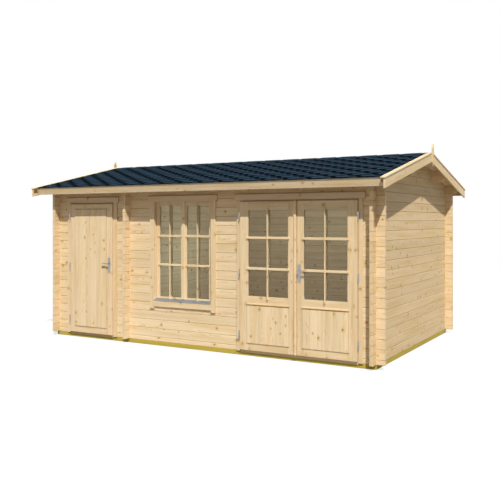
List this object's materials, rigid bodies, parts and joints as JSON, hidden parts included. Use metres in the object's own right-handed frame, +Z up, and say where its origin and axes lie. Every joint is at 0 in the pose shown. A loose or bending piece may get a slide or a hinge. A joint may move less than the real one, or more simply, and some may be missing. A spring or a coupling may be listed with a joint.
{
  "type": "log cabin",
  "caption": "Garden log cabin with a shingled saddle roof, a store room behind a boarded door and a main room with a glazed double door and a casement window.",
  "frame": {"origin": "on the ground under the middle of the roof's outline", "axes": "+X to the right along the front wall, -Y out of the front, +Z up"},
  "size_m": [5.3066, 3.616, 2.6372],
  "materials": {
    "log_wood": "planed, untreated",
    "trim_wood": "planed, untreated",
    "door_wood": "planed, untreated",
    "floor_board": "planed",
    "roof_board": "planed",
    "treated_beam": "pressure treated",
    "shingle": "mineral granules",
    "steel": "satin",
    "zinc_sheet": "satin",
    "glass": "clear"
  },
  "bodies": {
    "house": {"base_beams": "treated_beam", "floor_boards": "floor_board", "front_wall_left_pier": "log_wood", "front_wall_sill_logs": "log_wood", "front_wall_store_pier": "log_wood", "front_wall_window_pier": "log_wood", "front_wall_right_pier": "log_wood", "front_wall_head_logs": "log_wood", "rear_wall": "log_wood", "left_wall": "log_wood", "right_wall": "log_wood", "partition_wall": "log_wood", "purlins": "log_wood", "roof_boards_front": "roof_board", "roof_boards_rear": "roof_board", "shingles_front": "shingle", "shingles_rear": "shingle", "ridge_cap": "shingle", "fascia_boards": "trim_wood", "gable_battens": "trim_wood", "barge_boards_left": "trim_wood", "barge_boards_right": "trim_wood", "finials": "trim_wood", "single_door_frame": "trim_wood", "single_door_trim": "trim_wood", "double_door_frame": "trim_wood", "double_door_trim": "trim_wood", "window_frame": "trim_wood", "window_trim": "trim_wood", "window_flashing": "zinc_sheet", "window_sashes": "door_wood", "window_glass": "glass", "hinge_pins": "steel"},
    "single_leaf": {"single_door_leaf": "door_wood", "single_door_panel": "door_wood", "single_door_hinges": "steel", "single_door_plates": "steel"},
    "single_lever": {"single_door_lever": "steel"},
    "double_left_leaf": {"left_leaf": "door_wood", "left_leaf_panel": "door_wood", "left_leaf_glass": "glass", "left_leaf_hinges": "steel"},
    "double_right_leaf": {"right_leaf": "door_wood", "right_leaf_panel": "door_wood", "right_leaf_glass": "glass", "right_leaf_hinges": "steel", "right_leaf_plates": "steel"},
    "double_lever": {"right_leaf_lever": "steel"}
  },
  "joints": [
    {"name": "single_door_hinge", "type": "hinge", "parent": "house", "child": "single_leaf", "pos_m": [-2.156, -1.536, 1.011], "axis": [0, 0, -1], "range_deg": [0, 150]},
    {"name": "double_door_left_hinge", "type": "hinge", "parent": "house", "child": "double_left_leaf", "pos_m": [0.678, -1.536, 1.011], "axis": [0, 0, -1], "range_deg": [0, 150]},
    {"name": "double_door_right_hinge", "type": "hinge", "parent": "house", "child": "double_right_leaf", "pos_m": [2.232, -1.536, 1.011], "axis": [0, 0, 1], "range_deg": [0, 150]},
    {"name": "single_lever_turn", "type": "hinge", "parent": "single_leaf", "child": "single_lever", "pos_m": [-1.416, -1.516, 1.065], "axis": [0, -1, 0], "range_deg": [0, 40], "stiffness_Nm_per_rad": 1.5, "springref_deg": -22.92},
    {"name": "double_lever_turn", "type": "hinge", "parent": "double_right_leaf", "child": "double_lever", "pos_m": [1.5005, -1.516, 1.065], "axis": [0, 1, 0], "range_deg": [0, 40], "stiffness_Nm_per_rad": 1.5, "springref_deg": -22.92}
  ]
}
